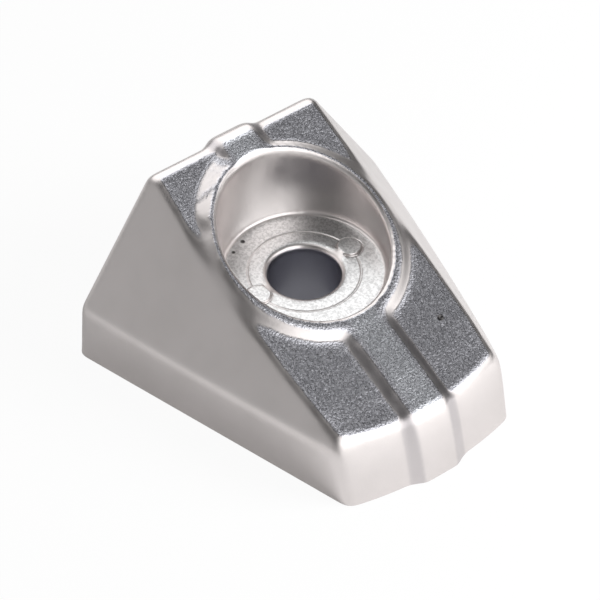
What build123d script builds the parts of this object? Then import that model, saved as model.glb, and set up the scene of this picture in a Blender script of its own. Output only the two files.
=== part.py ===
from build123d import *
import os
from math import radians, tan

# Sacrificial anode: a wedge-shaped block of anode metal, cast in one piece, that one bolt holds down.
# The bolt's head sits in a deep round counterbore, whose raised collar breaks over the slope's edges.
# A low rib runs over the block's middle, from the foot of the high back to the foot of the low front.
# Lengths are in millimetres and angles in degrees. The origin is on the bore's axis at the flat underside,
# +Z runs up the bore and +X points at the low front. The block is symmetric about the XZ plane.

# Bolt hole, counterbore and the two marks of the ejector pins on its floor
bore_diameter = 9.0
bore_mouth_bevel = 0.45
low_rim_depth = 1.85
counterbore_diameter = 20.9
counterbore_draft_angle = 2.0
rim_bevel = 0.45
pad_offset = 7.1
pad_diameter = 3.1
pad_height = 0.35

# Foot of the block, and the steep band along the foot of both sides, up to just below the nose
base_back = -16.4
base_front = 25.4
base_back_half = 23.7
base_front_half = 12.6
band_drop = 0.85
band_draft_angle = 3.5
band_round = 2.7

# Walls above the band, the ends and the sloping top
wall_angle_back = 30.5
wall_angle_front = 32.0
band_bow = 0.65
crown_bow = 0.1
back_draft_angle = 1.0
front_draft_angle = 14.5
front_bulge = 1.7
ridge_height = 25.8
ridge_round = 1.8
top_slope_angle = 22.9
top_dip = 1.55
top_dip_round = 245.0
side_round = 1.4
front_round = 1.3

# Collar round the counterbore
collar_wall = 1.65
collar_draft_angle = 5.0
collar_height = 0.9
collar_bevel = 0.2
collar_foot_bevel = 0.5
collar_root = 3.0

# Rib, with a crest a little below the collar's, and two S-shaped sides that run out under the block's faces
rib_drop = 0.15
rib_foot_width = 7.5
rib_top_width = 4.3
rib_foot_angle = 14.0
rib_ease = 0.75
rib_flare = 1.2
rib_root = 0.6

# Room past the block's own faces, for shapes that are cut back to it
overrun = 4.0

# How close two things are that touch, and how far sideways a side wall's face looks at least
touch = 0.001
side_facing = 0.3


def lean(height, angle):
    """Sideways run of a wall that leans by an angle over a height."""
    return height * tan(radians(angle))


ridge_x = base_back + lean(ridge_height, back_draft_angle)
taper = (base_back_half - base_front_half) / (base_front - base_back)
rib_height = collar_height - rib_drop
front_radius = (base_front_half**2 + front_bulge**2) / (2 * front_bulge)
full_width = 2 * (base_back_half + overrun)
upwards = (Align.CENTER, Align.CENTER, Align.MIN)


def slope_at(x):
    """Height of a straight line down the slope from the ridge, over a place along X."""
    return ridge_height - lean(x - ridge_x, top_slope_angle)


floor_height = slope_at(counterbore_diameter / 2) - low_rim_depth

# The front's drafted line meets the slope's line at the nose. The top dips halfway between ridge and nose.
front_x = base_front + front_bulge
nose_height = slope_at(front_x) / (1 - lean(1, top_slope_angle) * lean(1, front_draft_angle))
nose_x = front_x - lean(nose_height, front_draft_angle)
band_height = nose_height - band_drop
dip_x = (ridge_x + nose_x) / 2
dip_height = slope_at(dip_x) - top_dip


def half_width(x, z):
    """Half the block's width at its walls' chord, at a place along X and a height."""
    share = (x - base_back) / (base_front - base_back)
    wall_angle = wall_angle_back + share * (wall_angle_front - wall_angle_back)
    side = lean(min(z, band_height), band_draft_angle) + lean(max(z - band_height, 0), wall_angle)
    return base_back_half - taper * (x - base_back) - side * (1 + taper**2) ** 0.5


def level(z, bow):
    """Level section of the room inside one side wall, which bows outwards."""
    back, front = base_back - overrun, base_front + overrun
    back_half, front_half = half_width(back, z), half_width(front, z)
    control = ((back + front) / 2, (back_half + front_half) / 2 + 2 * bow)
    with BuildSketch(Plane.XY.offset(z)) as section:
        with BuildLine():
            Bezier((back, back_half), control, (front, front_half))
            Polyline((front, front_half), (front, -full_width), (back, -full_width), (back, back_half))
        make_face()
    return section.sketch


def side_walls():
    """Block between its two side walls, longer and higher than it will be."""
    crown = ridge_height + overrun
    sections = [level(0, 0), level(band_height, band_bow), level(crown, crown_bow)]
    inside = loft(sections, ruled=True)
    return inside & mirror(inside, about=Plane.XZ)


def side_profile():
    """The block seen from the side, wider than it will be, with the ridge rounded and the top dipped."""
    far = nose_x + overrun
    far_height = dip_height + (nose_height - dip_height) / (nose_x - dip_x) * (far - dip_x)
    corners = [(base_back, 0), (ridge_x, ridge_height), (dip_x, dip_height), (far, far_height)]
    with BuildSketch(Plane.XZ) as view:
        with BuildLine():
            FilletPolyline(*corners, radius=[ridge_round, top_dip_round])
            Polyline((far, far_height), (far, 0), (base_back, 0))
        make_face()
    return extrude(view.sketch, full_width / 2, both=True)


def front_cone():
    """Wide cone whose flank is the bulged, drafted front."""
    height = ridge_height + overrun
    cone = Cone(front_radius, front_radius - lean(height, front_draft_angle), height, align=upwards)
    # Turned round, so that the cone's seam is not on the front.
    return Pos(base_front + front_bulge - front_radius, 0, 0) * Rot(0, 0, 180) * cone


def shared_edges(first, second):
    """Edges where one group of faces meets another."""
    return list(set(first.edges()) & set(second.edges()))


def wedge():
    """The block with its band, ridge, corners and edges rounded."""
    block = side_walls() & side_profile() & front_cone()
    kinks = block.edges().filter_by(lambda edge: abs(edge.center().Z - band_height) < touch)
    block = fillet(kinks, band_round)
    sides = block.faces().filter_by(lambda face: abs(face.normal_at().Y) > side_facing)
    front = block.faces().sort_by(Axis.X)[-1:]
    underside = block.faces().sort_by(Axis.Z)[:1]
    top_and_back = block.faces() - sides - front - underside
    block = fillet(shared_edges(sides, top_and_back), side_round)
    front_face = block.faces().sort_by(Axis.X)[-1]
    rim = front_face.edges().filter_by(lambda edge: edge.center().Z > touch)
    return fillet(rim, front_round)


def collar():
    """Drafted round collar, cut off parallel to the sloping top and bevelled outside."""
    foot = floor_height - collar_root
    radius = counterbore_diameter / 2 + collar_wall + lean(slope_at(0) - foot, collar_draft_angle)
    flank = Cone(radius, radius - lean(ridge_height, collar_draft_angle), ridge_height, align=upwards)
    trimmed = Pos(0, 0, foot) * flank & (Pos(0, 0, collar_height) * side_profile())
    crest = trimmed.faces().sort_by(Axis.Z)[-1]
    return chamfer(crest.edges(), collar_bevel)


def meeting(body, first, second):
    """Edges of a body that lie on both of the shapes it was joined from."""
    def on_both(edge):
        middle = edge @ 0.5
        return first.distance_to(middle) < touch and second.distance_to(middle) < touch
    return body.edges().filter_by(on_both)


def spine():
    """Outline of the block's middle, from below the back over the ridge to below the front."""
    ground = -overrun
    return FilletPolyline(
        (base_back + lean(ground, back_draft_angle), 0, ground),
        (ridge_x, 0, ridge_height),
        (dip_x, 0, dip_height),
        (nose_x, 0, nose_height),
        (front_x - lean(ground, front_draft_angle), 0, ground),
        radius=[ridge_round, top_dip_round, front_round],
    )


def rib_side(hand):
    """One S-shaped side of the rib's section, from its foot to its crest; hand is 1 or -1."""
    foot, crest = hand * rib_foot_width / 2, hand * rib_top_width / 2
    return Bezier(
        (foot + hand * rib_flare, -lean(rib_flare, rib_foot_angle)),
        (foot - hand * rib_ease, lean(rib_ease, rib_foot_angle)),
        (crest + hand * rib_ease, rib_height),
        (crest, rib_height),
    )


def rib():
    """Low rib with S-shaped sides, carried over the back, the top and the front."""
    path = spine()
    with BuildSketch(Plane(origin=path @ 0, x_dir=(0, 1, 0), z_dir=path % 0)) as section:
        with BuildLine():
            left, right = rib_side(-1), rib_side(1)
            Line(left @ 1, right @ 1)
            left_root, right_root = left @ 0 - (0, rib_root), right @ 0 - (0, rib_root)
            Polyline(left @ 0, left_root, right_root, right @ 0)
        make_face()
    length = 2 * (base_front - base_back)
    above_ground = Box(length, full_width, 2 * ridge_height, align=upwards)
    return sweep(section.sketch, path=path) & above_ground


def counterbore(body):
    """The body with its drafted counterbore sunk from above and the rim bevelled inside."""
    depth = ridge_height - floor_height + overrun
    radius = counterbore_diameter / 2
    recess = Cone(radius, radius + lean(depth, counterbore_draft_angle), depth, align=upwards)
    recess = Pos(0, 0, floor_height) * recess
    sunk = body - recess
    rim = meeting(sunk, recess, body).filter_by(lambda edge: edge.center().Z > floor_height + touch)
    return chamfer(rim, rim_bevel)


def bolt_hole(body):
    """The body with the bolt's hole through the counterbore's floor, bevelled at its mouth."""
    radius = bore_diameter / 2
    drilled = body - Pos(0, 0, -overrun) * Cylinder(radius, floor_height + 2 * overrun, align=upwards)
    circles = drilled.edges().filter_by(GeomType.CIRCLE)
    ends = circles.filter_by(lambda edge: abs(edge.radius - radius) < touch)
    return chamfer(ends.sort_by(Axis.Z)[-1], bore_mouth_bevel)


def pads():
    """The two low round marks of the ejector pins, on the counterbore's floor."""
    pad = Cylinder(pad_diameter / 2, 2 * pad_height)
    return [Pos(0, side * pad_offset, floor_height) * pad for side in (-1, 1)]


def anode_casting():
    """The whole casting."""
    block, ring = wedge(), collar()
    body = block + ring
    body = chamfer(meeting(body, block, ring), collar_foot_bevel)
    return bolt_hole(counterbore(body + rib())) + pads()


os.makedirs("parts", exist_ok=True)
export_step(anode_casting(), "parts/anode_casting.step")
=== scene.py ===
from math import cos, radians, sin, sqrt
from types import SimpleNamespace

import bmesh
import bpy
import numpy as np
from mathutils import Matrix, Vector

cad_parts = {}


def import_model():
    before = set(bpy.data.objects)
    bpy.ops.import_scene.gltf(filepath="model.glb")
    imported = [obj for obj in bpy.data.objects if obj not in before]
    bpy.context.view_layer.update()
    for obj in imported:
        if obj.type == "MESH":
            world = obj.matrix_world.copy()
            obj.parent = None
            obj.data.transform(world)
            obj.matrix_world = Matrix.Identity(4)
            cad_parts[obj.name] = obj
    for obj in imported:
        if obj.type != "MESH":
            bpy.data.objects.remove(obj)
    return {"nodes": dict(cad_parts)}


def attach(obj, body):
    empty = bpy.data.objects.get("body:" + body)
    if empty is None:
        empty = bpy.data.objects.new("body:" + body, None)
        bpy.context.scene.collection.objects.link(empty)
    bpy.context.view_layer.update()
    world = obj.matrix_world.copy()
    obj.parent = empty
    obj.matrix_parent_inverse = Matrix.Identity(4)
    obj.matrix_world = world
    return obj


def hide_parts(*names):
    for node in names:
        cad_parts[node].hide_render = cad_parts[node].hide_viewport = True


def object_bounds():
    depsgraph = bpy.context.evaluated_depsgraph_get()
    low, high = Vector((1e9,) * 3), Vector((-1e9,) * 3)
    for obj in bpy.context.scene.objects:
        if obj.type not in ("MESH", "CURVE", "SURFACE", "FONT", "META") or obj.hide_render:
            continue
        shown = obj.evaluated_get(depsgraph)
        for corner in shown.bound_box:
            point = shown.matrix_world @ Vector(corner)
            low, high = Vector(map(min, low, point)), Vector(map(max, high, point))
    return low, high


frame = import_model()
cad_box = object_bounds()

scene = bpy.context.scene
scene.view_settings.view_transform = "Standard"

# The casting is shaped in millimetres, and the scene is in metres
MM = 0.001

# Camera: degrees round from the side, up and of roll; millimetres away, and right and up of the origin;
# pixels to a millimetre there, and the widths of the picture in pixels and of the sensor in millimetres
CAMERA_TURN, CAMERA_RISE, CAMERA_ROLL = 51.638, 44.685, 1.0
CAMERA_AWAY, CAMERA_RIGHT, CAMERA_UP = 464.3, -0.379, 5.54
PIXELS_PER_MM, PICTURE_WIDTH, SENSOR_WIDTH = 7.922, 600, 36

# Carried on below the underside: how far, how much wider, and the radius that only the hole is inside of
FOOT_DEPTH, FOOT_SPREAD, HOLE_ROOM = 3, 1.012, 8
VOXEL = 0.27

# The sloping top: where it faces, and its height along X, an arc with a straight run up to the ridge
SLOPE_NORMAL = (0.389, 0, 0.921)
ARC_X, ARC_Z, ARC_RADIUS = 99.6, 241.9, 245
RUN_X, RUN_Z, RUN_FALL = -9.67, 22.67, 0.49834

# The collar's rear left flank: the radius where it ends, its width and its height
FLANK_RADIUS, FLANK_WIDTH, FLANK_RISE = 13.9, 2.6, 1

# The front: its place at the foot, its lean per millimetre up, and what divides Y squared for its bulge
FRONT_X, FRONT_LEAN, FRONT_BULGE = 27.1, 0.2586, 95
# The front's upper part leans back more: by how much, above which height, over which height, and how deep
CROWN, CROWN_FROM, CROWN_OVER, CROWN_DEPTH = 0.5, 3.4, 5.2, 6.0

# The counterbore's floor: its height, the heights between which the mesh belongs to it, and the fine ring
FLOOR, FLOOR_LOW, FLOOR_HIGH = 12.8, 12.3, 13.5
RING, RING_WIDTH, RING_DEPTH = 7.06, 0.16, 0.09
# The marks of the ejector pins, and the groove round each
PAD_PLACES, PAD_RADIUS, PAD_HEIGHT = [(0, -7.1), (0, 7.1)], 1.55, 0.3
GROOVE_WIDTH, GROOVE_DEPTH = 0.14, 0.07
# Half the width of the flat bottom of the ring and of the groove
GROOVE_FLAT = 0.02
# Small casting pits, one on the slope and two on the floor: place, radius, depth
PITS = [
    ((15.66, 9.03, 11.79), 0.3, 0.2),
    ((-8.8, -2.9, 12.8), 0.2, 0.12),
    ((-7.94, -5.0, 12.8), 0.16, 0.1),
]

# Colours of the metal, where it has two between which a noise picks
SATIN_COLOURS = (0.695, 0.655, 0.643, 1), (0.74, 0.696, 0.686, 1)
GRAIN_COLOURS = (0.49, 0.49, 0.53, 1), (0.55, 0.55, 0.59, 1)
FLOOR_COLOURS = (0.56, 0.56, 0.56, 1), (0.78, 0.78, 0.78, 1)
# Colours of the grain's bright specks, the rib's crest, and painted shade on the rib's sides, bolt hole and
# pits
SPARK_COLOUR = (0.73, 0.73, 0.78, 1)
CREST_COLOUR = (0.84, 0.86, 0.91, 1)
RIB_SIDE_SHADE_COLOUR = (0.4, 0.38, 0.4, 1)
HOLE_SHADE_COLOUR = (0.5, 0.5, 0.55, 1)
PIT_SHADE_COLOUR = (0.1, 0.095, 0.095, 1)
# Height of the metal's bump
BUMP = 0.05

# The tent that only the metal mirrors: its radius in metres, its own level, and its panels, each with its
# azimuth, height, inner and outer radius in degrees and its level
TENT_RADIUS, TENT_LEVEL = 0.6, 0.38
TENT_PANELS = [
    (-60, 62, 25, 50, 0.165),
    (100, 30, 24, 42, 0.09),
    (-100, 5, 10, 35, 0.48),
    (-145, 55, 8, 30, 0.75),
    (160, 50, 30, 42, 1.65),
    (125, 74, 6, 18, 1.0),
    (62, 38, 8, 22, 1.2),
    (14, 28, 26, 46, 2.0),
    (80, 62, 15, 25, 0.14),
    (-71, 64, 12, 25, 0.08),
]

# The lamp and the floor in metres, the lamp's power, the world's level, and the floor's look
LAMP_PLACE, LAMP_SIZE, LAMP_ENERGY = (0.15, 0.16, 0.14), 0.14, 0.83
WORLD_LEVEL = 0.4
FLOOR_HALF, FLOOR_DROP, FLOOR_GREY = 3, 0.00002, 0.9
# How much of the floor is plain white to the camera and in the metal
WHITE_SEEN, WHITE_MIRRORED = 0.94, 0.18


def add_object(name, data):
    obj = bpy.data.objects.new(name, data)
    scene.collection.objects.link(obj)
    return obj


def camera():
    """The photograph's camera."""
    turn, rise, roll = radians(CAMERA_TURN), radians(CAMERA_RISE), radians(CAMERA_ROLL)
    back = Vector((sin(turn) * cos(rise), -cos(turn) * cos(rise), sin(rise)))
    level = Vector((cos(turn), sin(turn), 0))
    upright = back.cross(level)
    right = cos(roll) * level + sin(roll) * upright
    up = cos(roll) * upright - sin(roll) * level
    data = bpy.data.cameras.new("camera")
    data.sensor_width = SENSOR_WIDTH
    data.lens = PIXELS_PER_MM * CAMERA_AWAY * SENSOR_WIDTH / PICTURE_WIDTH
    data.clip_start, data.clip_end = 0.01, 10
    place = (CAMERA_RIGHT * right + CAMERA_UP * up + CAMERA_AWAY * back) * MM
    obj = add_object("camera", data)
    obj.matrix_world = Matrix.Translation(place) @ Matrix((right, up, back)).transposed().to_4x4()
    scene.camera = obj


class Nodes:
    """A material, with short ways to add and link its shader nodes."""

    def __init__(self, name):
        self.mat = bpy.data.materials.new(name)
        self.mat.use_nodes = True
        self.tree = self.mat.node_tree
        self.tree.nodes.clear()

    def add(self, kind, inputs=None, **props):
        """New node. An input is another node's output, which is linked, or a value, which is set."""
        node = self.tree.nodes.new(kind)
        for key, value in props.items():
            setattr(node, key, value)
        for key, value in (inputs or {}).items():
            if isinstance(value, bpy.types.NodeSocket):
                self.tree.links.new(value, node.inputs[key])
            else:
                node.inputs[key].default_value = value
        return node

    def math(self, op, a, b=0.0, clamp=False):
        return self.add("ShaderNodeMath", {0: a, 1: b}, operation=op, use_clamp=clamp).outputs[0]

    def vector(self, op, a, b):
        """Number that comes of two vectors."""
        return self.add("ShaderNodeVectorMath", {0: a, 1: b}, operation=op).outputs["Value"]

    def split(self, vector):
        """The three numbers of a vector."""
        return list(self.add("ShaderNodeSeparateXYZ", {0: vector}).outputs)

    def ramp(self, value, low, high, to_low=0.0, to_high=1.0):
        """Smooth step, from to_low where the value is low to to_high where it is high."""
        node = self.add(
            "ShaderNodeMapRange",
            {"Value": value, "From Min": low, "From Max": high, "To Min": to_low, "To Max": to_high},
            interpolation_type="SMOOTHSTEP",
        )
        return node.outputs["Result"]

    def noise(self, vector, scale, detail, rough=0.5):
        inputs = {"Vector": vector, "Scale": scale, "Detail": detail, "Roughness": rough}
        return self.add("ShaderNodeTexNoise", inputs).outputs["Fac"]

    def blend(self, share, a, b):
        """Number a, and b where the share is 1."""
        return self.add("ShaderNodeMix", {0: share, 2: a, 3: b}, data_type="FLOAT").outputs[0]

    def mix(self, share, a, b):
        """Colour a, and b where the share is 1."""
        return self.add("ShaderNodeMix", {0: share, 6: a, 7: b}, data_type="RGBA").outputs[2]

    def emission(self, strength):
        return self.add("ShaderNodeEmission", {"Color": (1, 1, 1, 1), "Strength": strength}).outputs[0]

    def finished(self, surface):
        """The material, with a shader as its surface."""
        self.add("ShaderNodeOutputMaterial", {"Surface": surface})
        return self.mat


def metal_zones(n):
    """What the metal's looks depend on: the place, shares of 0 to 1 for the zones, and noises."""
    coords = n.add("ShaderNodeTexCoord")
    place, normal = coords.outputs["Object"], coords.outputs["Normal"]
    x, y, z = n.split(place)
    _, normal_y, normal_z = n.split(normal)
    across = n.math("ABSOLUTE", y)
    radius = n.math("SQRT", n.math("ADD", n.math("MULTIPLY", x, x), n.math("MULTIPLY", y, y)))
    facing = n.vector("DOT_PRODUCT", normal, SLOPE_NORMAL)
    wander = n.math("MULTIPLY", n.math("SUBTRACT", n.noise(place, 900, 3.0), 0.5), 0.03)
    upward = n.ramp(n.math("ADD", facing, wander), 0.948, 0.982)
    outside = n.ramp(radius, 10.75 * MM, 11.05 * MM)
    level = n.ramp(normal_z, 0.93, 0.98)
    sideways = n.ramp(n.math("ABSOLUTE", normal_y), 0.12, 0.42)
    # Painted shade: the rib's sides that lean sideways, outside the collar, are made darker in colour
    rib_side_painted_shade = n.math("MULTIPLY", n.ramp(across, 4.6 * MM, 4.1 * MM), sideways)
    rib_side_painted_shade = n.math("MULTIPLY", rib_side_painted_shade, n.ramp(radius, 12.2 * MM, 13.2 * MM))
    return SimpleNamespace(
        place=place,
        top=n.math("MULTIPLY", upward, outside),
        floor=n.math("MULTIPLY", level, n.math("SUBTRACT", 1.0, outside)),
        crest=n.ramp(across, 2.3 * MM, 1.6 * MM, 0.0, 0.75),
        rib_side_painted_shade=n.math("MULTIPLY", rib_side_painted_shade, n.ramp(facing, 0.4, 0.8, 0.35, 0.6)),
        # The hole's share is where painted shade darkens the inside of the bolt hole
        hole=n.math("MULTIPLY", n.ramp(radius, 4.75 * MM, 4.55 * MM), n.ramp(z, 12.6 * MM, 12.2 * MM)),
        fine=n.noise(place, 3000, 2.0, 0.6),
        speck=n.noise(place, 4600, 1.0),
        broad=n.noise(place, 110, 3.0, 0.55),
        clouds=n.noise(place, 380, 4.0, 0.6),
    )


def metal_colour(n, at):
    """Satin, grain on the top, sparkle on the floor, the rib crest's colour, and painted shade on the rib's
    sides, in the hole and in the pits.
    """
    satin = n.mix(n.ramp(at.broad, 0.3, 0.7), *SATIN_COLOURS)
    grain = n.mix(n.ramp(at.clouds, 0.3, 0.7), *GRAIN_COLOURS)
    grain = n.mix(n.ramp(at.fine, 0.42, 0.68), grain, SPARK_COLOUR)
    grain = n.mix(at.crest, grain, CREST_COLOUR)
    sparkle = n.mix(n.ramp(at.fine, 0.36, 0.62), *FLOOR_COLOURS)
    colour = n.mix(at.floor, n.mix(at.top, satin, grain), sparkle)
    # Painted shade on the rib's sides
    colour = n.mix(at.rib_side_painted_shade, colour, RIB_SIDE_SHADE_COLOUR)
    # Painted shade inside the bolt hole
    colour = n.mix(at.hole, colour, HOLE_SHADE_COLOUR)
    # Painted shade in the pits
    for pit, size, _ in PITS:
        away = n.vector("DISTANCE", at.place, [c * MM for c in pit])
        colour = n.mix(n.ramp(away, size * 1.9 * MM, size * 1.1 * MM), colour, PIT_SHADE_COLOUR)
    return colour


def metal_roughness(n, at):
    satin = n.ramp(at.clouds, 0.25, 0.75, 0.28, 0.36)
    grain = n.ramp(at.speck, 0.3, 0.7, 0.22, 0.34)
    sparkle = n.ramp(at.speck, 0.3, 0.7, 0.28, 0.38)
    return n.blend(at.floor, n.blend(at.top, satin, grain), sparkle)


def metal_bump(n, at):
    """Strong grain on the top, less on the counterbore's floor, and faint clouds all over."""
    strength = n.math("ADD", n.math("MULTIPLY", at.top, 0.9), n.math("MULTIPLY", at.floor, 0.34))
    strength = n.math("ADD", strength, 0.1, clamp=True)
    height = n.math("MULTIPLY", n.math("ADD", at.fine, n.math("MULTIPLY", at.speck, 0.6)), strength)
    height = n.math("ADD", height, n.math("MULTIPLY", at.clouds, 0.15))
    return n.add("ShaderNodeBump", {"Height": height, "Strength": 1.0, "Distance": BUMP * MM}).outputs[0]


def anode_metal():
    """Cast metal: satin walls, and a grain that is dark on the sloping top and pale on the floor."""
    n = Nodes("anode_metal")
    at = metal_zones(n)
    inputs = {
        "Base Color": metal_colour(n, at),
        "Metallic": 1.0,
        "Roughness": metal_roughness(n, at),
        "Normal": metal_bump(n, at),
    }
    return n.finished(n.add("ShaderNodeBsdfPrincipled", inputs).outputs[0])


def fade(value, low, high):
    """Smooth step from 0 at low to 1 at high."""
    t = np.clip((value - low) / (high - low), 0, 1)
    return t * t * (3 - 2 * t)


class Relief:
    """The points of a mesh, which can be moved towards their neighbours."""

    def __init__(self, mesh):
        count = len(mesh.vertices)
        points = np.empty(count * 3)
        mesh.vertices.foreach_get("co", points)
        self.points = points.reshape(-1, 3)
        edges = np.empty(len(mesh.edges) * 2, int)
        mesh.edges.foreach_get("vertices", edges)
        edges = edges.reshape(-1, 2)
        self.both = np.concatenate([edges, edges[:, ::-1]])
        degree = np.bincount(self.both[:, 0], minlength=count).astype(float)
        self.degree = np.maximum(degree, 1)[:, None]

    def relax(self, weight, rounds):
        """Moves each point towards its neighbours' middle, by its weight."""
        start, end = self.both.T
        weight = np.broadcast_to(weight, len(self.points))[:, None]
        for _ in range(rounds):
            total = [np.bincount(start, self.points[end, k], len(self.points)) for k in range(3)]
            self.points = self.points + weight * (np.stack(total, 1) / self.degree - self.points)


def slope_height(x):
    """Height of the sloping top."""
    arc = ARC_Z - np.sqrt(ARC_RADIUS**2 - (x - ARC_X) ** 2)
    return np.where(x > RUN_X, arc, RUN_Z - RUN_FALL * (x - RUN_X))


def soften_collar_foot(relief):
    """Rounds the collar's foot more than the other edges."""
    x, y, z = relief.points.T
    radius = np.hypot(x, y)
    foot = fade(radius, 11.2, 11.9) * fade(radius, 15.2, 13.6) * fade(z, 11.0, 12.5)
    relief.relax(0.5 * foot, 26)


def widen_rear_flank(relief):
    """Makes the collar's flank wider at the back, at negative Y."""
    x, y, z = relief.points.T
    radius = np.hypot(x, y)
    rear = fade(x, -5.0, -7.5) * fade(y, -2.5, -4.5) * fade(y, -11.2, -10.0)
    ring = fade(radius, 10.9, 11.2) * fade(radius, 14.4, 14.0)
    flank = slope_height(x) + np.clip((FLANK_RADIUS - radius) / FLANK_WIDTH, 0, FLANK_RISE)
    relief.points[:, 2] += rear * ring * (flank - z)
    relief.relax(0.5 * rear * fade(radius, 11.0, 11.3) * fade(radius, 15.0, 14.2), 5)


def shape_front(relief):
    """Rounds the front's two upright corners, more at negative Y, and leans its upper part back."""
    x, y, z = relief.points.T
    corner = fade(x, 19.0, 22.0) * fade(np.abs(y), 9.0, 11.5) * np.where(y < 0, 0.5, 0.25)
    relief.relax(corner, 22)
    x, y, z = relief.points.T
    face = FRONT_X - FRONT_LEAN * z - y**2 / FRONT_BULGE
    crown = CROWN * np.clip((z - CROWN_FROM) / CROWN_OVER, 0, 1.2) ** 2
    relief.points[:, 0] -= crown * fade(face - x, CROWN_DEPTH, 0.0)


def soften(mesh):
    """Gives every edge the softness of a casting, and the collar's foot and the front their own."""
    relief = Relief(mesh)
    relief.relax(0.5, 9)
    soften_collar_foot(relief)
    widen_rear_flank(relief)
    shape_front(relief)
    mesh.vertices.foreach_set("co", relief.points.ravel())


def deepen(bm):
    """Carries the block and its hole on downwards, so that smoothing leaves the foot's edge sharp."""
    bottom = [f for f in bm.faces if f.normal.z < -0.99 and f.calc_center_median().z < 0.01]
    made = bmesh.ops.extrude_face_region(bm, geom=bottom)
    bmesh.ops.delete(bm, geom=bottom, context="FACES")
    for item in made["geom"]:
        if isinstance(item, bmesh.types.BMVert):
            spread = FOOT_SPREAD if item.co.xy.length > HOLE_ROOM else 1
            item.co.x *= spread
            item.co.y *= spread
            item.co.z = -FOOT_DEPTH


def remeshed(bm):
    """Object with an even mesh of the solid, fine enough to be smoothed like a cast surface."""
    mesh = bpy.data.meshes.new("casting")
    bm.to_mesh(mesh)
    bm.free()
    body = add_object("casting", mesh)
    remesh = body.modifiers.new("remesh", "REMESH")
    remesh.mode = "VOXEL"
    remesh.voxel_size = VOXEL
    remesh.adaptivity = 0
    even = bpy.data.meshes.new_from_object(body.evaluated_get(bpy.context.evaluated_depsgraph_get()))
    body.modifiers.clear()
    body.data = even
    bpy.data.meshes.remove(mesh)
    return body


def cut_underside(bm):
    """Cuts the casting flat at the height of its underside."""
    everything = bm.verts[:] + bm.edges[:] + bm.faces[:]
    cut = bmesh.ops.bisect_plane(
        bm, geom=everything, plane_co=(0, 0, 0), plane_no=(0, 0, 1), clear_inner=True
    )
    rim = [item for item in cut["geom_cut"] if isinstance(item, bmesh.types.BMEdge)]
    bmesh.ops.triangle_fill(bm, edges=rim, use_beauty=True, normal=(0, 0, -1))


def split_near(bm, near):
    """Divides the faces whose middle is near a detail."""
    faces = [face for face in bm.faces if near(face.calc_center_median())]
    edges = list({edge for face in faces for edge in face.edges})
    bmesh.ops.subdivide_edges(bm, edges=edges, cuts=2, use_grid_fill=True)


def floor_height(x, y):
    """Height of the floor with the pins' marks, their grooves, and the ring, which stops at the marks."""
    height, ring = FLOOR, 1.0
    for px, py in PAD_PLACES:
        away = sqrt((x - px) ** 2 + (y - py) ** 2)
        height += PAD_HEIGHT * float(fade(away, PAD_RADIUS + 0.06, PAD_RADIUS - 0.08))
        off = abs(away - PAD_RADIUS - GROOVE_WIDTH)
        height -= GROOVE_DEPTH * float(fade(off, GROOVE_WIDTH, GROOVE_FLAT))
        ring = min(ring, float(fade(away, PAD_RADIUS + 0.1, PAD_RADIUS + 0.3)))
    off = abs(sqrt(x * x + y * y) - RING)
    return height - ring * RING_DEPTH * float(fade(off, RING_WIDTH, GROOVE_FLAT))


def carve_floor(bm):
    """Makes the ring, the pins' marks and their grooves in a finer part of the mesh."""
    def needs_detail(p):
        radius = p.xy.length
        near_pad = min((p.xy - Vector(place)).length for place in PAD_PLACES) < PAD_RADIUS + 0.45
        near_ring = abs(radius - RING) < 0.35
        return FLOOR_LOW < p.z < FLOOR_HIGH and radius < 9.3 and (near_ring or near_pad)
    split_near(bm, needs_detail)
    for vert in bm.verts:
        radius = vert.co.xy.length
        if FLOOR_LOW < vert.co.z < FLOOR_HIGH and 5.6 < radius < 9.5:
            share = float(fade(radius, 5.6, 5.9) * fade(radius, 9.5, 9.2))
            vert.co.z += share * (floor_height(vert.co.x, vert.co.y) - vert.co.z)


def carve_pits(bm):
    """Sinks the small casting pits into finer parts of the mesh."""
    for place, size, depth in PITS:
        middle = Vector(place)
        split_near(bm, lambda p: (p - middle).length < size * 2.2)
        bm.normal_update()
        for vert in bm.verts:
            away = (vert.co - middle).length
            if away < size * 1.4:
                vert.co -= vert.normal * depth * float(fade(away, size * 1.3, size * 0.3))


def faces_down(face):
    return face.normal.z < -0.999


def shade(bm):
    """Smooth shading, with a sharp edge round the flat underside."""
    bmesh.ops.recalc_face_normals(bm, faces=bm.faces)
    for face in bm.faces:
        face.smooth = not faces_down(face)
    for edge in bm.edges:
        edge.smooth = not any(faces_down(face) for face in edge.link_faces)


def casting():
    """The whole anode, made from its solid."""
    node = frame["nodes"]["anode_casting"]
    bm = bmesh.new()
    bm.from_mesh(node.data)
    bmesh.ops.transform(bm, matrix=Matrix.Scale(1 / MM, 4), verts=bm.verts)
    bmesh.ops.remove_doubles(bm, verts=bm.verts, dist=1e-4)
    bmesh.ops.dissolve_degenerate(bm, edges=bm.edges, dist=1e-5)
    bm.normal_update()
    deepen(bm)
    body = remeshed(bm)
    mesh = body.data
    soften(mesh)
    bm = bmesh.new()
    bm.from_mesh(mesh)
    cut_underside(bm)
    carve_floor(bm)
    carve_pits(bm)
    bmesh.ops.transform(bm, matrix=Matrix.Scale(MM, 4), verts=bm.verts)
    # No point lies outside the solid's box.
    low, high = cad_box
    for vert in bm.verts:
        vert.co = [min(max(c, a), b) for c, a, b in zip(vert.co, low, high)]
    shade(bm)
    bm.to_mesh(mesh)
    bm.free()
    mesh.materials.clear()
    mesh.materials.append(anode_metal())
    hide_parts("anode_casting")
    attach(body, "root")


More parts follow.
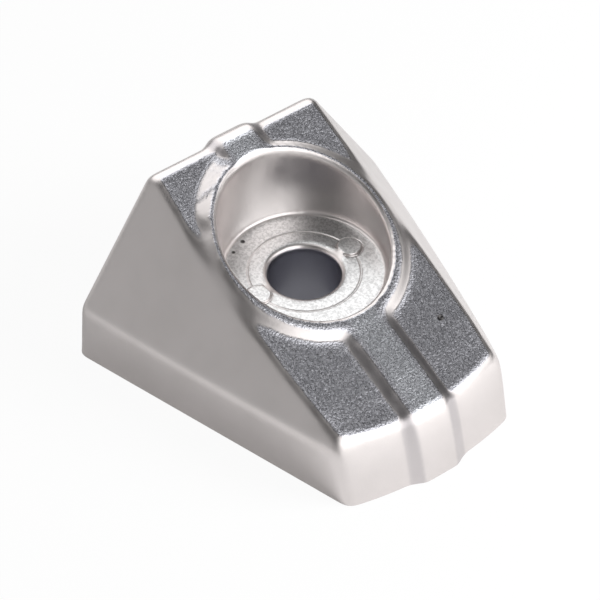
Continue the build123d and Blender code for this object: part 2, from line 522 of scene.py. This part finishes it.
def tent():
    """Studio tent that is seen only in the metal: dark, with soft bright and darker panels."""
    n = Nodes("tent")
    place = n.add("ShaderNodeTexCoord").outputs["Object"]
    ray = n.add("ShaderNodeVectorMath", {0: place}, operation="NORMALIZE").outputs[0]
    level = TENT_LEVEL
    for azimuth, height, inner, outer, value in TENT_PANELS:
        a, e = radians(azimuth), radians(height)
        near = n.vector("DOT_PRODUCT", ray, (cos(a) * cos(e), sin(a) * cos(e), sin(e)))
        level = n.blend(n.ramp(near, cos(radians(outer)), cos(radians(inner))), level, value)
    bm = bmesh.new()
    bmesh.ops.create_icosphere(bm, subdivisions=4, radius=TENT_RADIUS)
    mesh = bpy.data.meshes.new("tent")
    bm.to_mesh(mesh)
    bm.free()
    mesh.materials.append(n.finished(n.emission(level)))
    n.mat.cycles.emission_sampling = "NONE"
    obj = add_object("tent", mesh)
    obj.visible_camera = False
    obj.visible_diffuse = False
    obj.visible_shadow = False


def lamp():
    """Soft lamp for the floor and the object's shadow. The metal doesn't mirror it."""
    data = bpy.data.lights.new("lamp", "AREA")
    data.size = LAMP_SIZE
    data.energy = LAMP_ENERGY
    obj = add_object("lamp", data)
    obj.location = LAMP_PLACE
    obj.rotation_mode = "QUATERNION"
    obj.rotation_quaternion = Vector(LAMP_PLACE).to_track_quat("Z", "Y")
    obj.visible_glossy = False


def floor_material():
    """Pale floor that looks white to the camera, is paler in the metal, and keeps a part of the shadow."""
    n = Nodes("floor")
    path = n.add("ShaderNodeLightPath").outputs
    seen = n.math("MULTIPLY", path["Is Camera Ray"], WHITE_SEEN)
    mirrored = n.math("MAXIMUM", path["Is Glossy Ray"], path["Is Transmission Ray"])
    white_share = n.math("ADD", seen, n.math("MULTIPLY", mirrored, WHITE_MIRRORED))
    matt = n.add("ShaderNodeBsdfDiffuse", {"Color": (FLOOR_GREY, FLOOR_GREY, FLOOR_GREY, 1)}).outputs[0]
    shader = n.add("ShaderNodeMixShader", {0: white_share, 1: matt, 2: n.emission(1.0)})
    return n.finished(shader.outputs[0])


def floor():
    """Level floor just below the casting."""
    half = FLOOR_HALF
    mesh = bpy.data.meshes.new("floor")
    corners = [(-half, -half, 0), (half, -half, 0), (half, half, 0), (-half, half, 0)]
    mesh.from_pydata(corners, [], [(0, 1, 2, 3)])
    mesh.materials.append(floor_material())
    obj = add_object("floor", mesh)
    obj.location.z = -FLOOR_DROP


def world():
    """Plain even light from all round."""
    scene.world = bpy.data.worlds.new("world")
    scene.world.use_nodes = True
    background = scene.world.node_tree.nodes["Background"]
    background.inputs["Color"].default_value = (1, 1, 1, 1)
    background.inputs["Strength"].default_value = WORLD_LEVEL


camera()
casting()
floor()
world()
tent()
lamp()
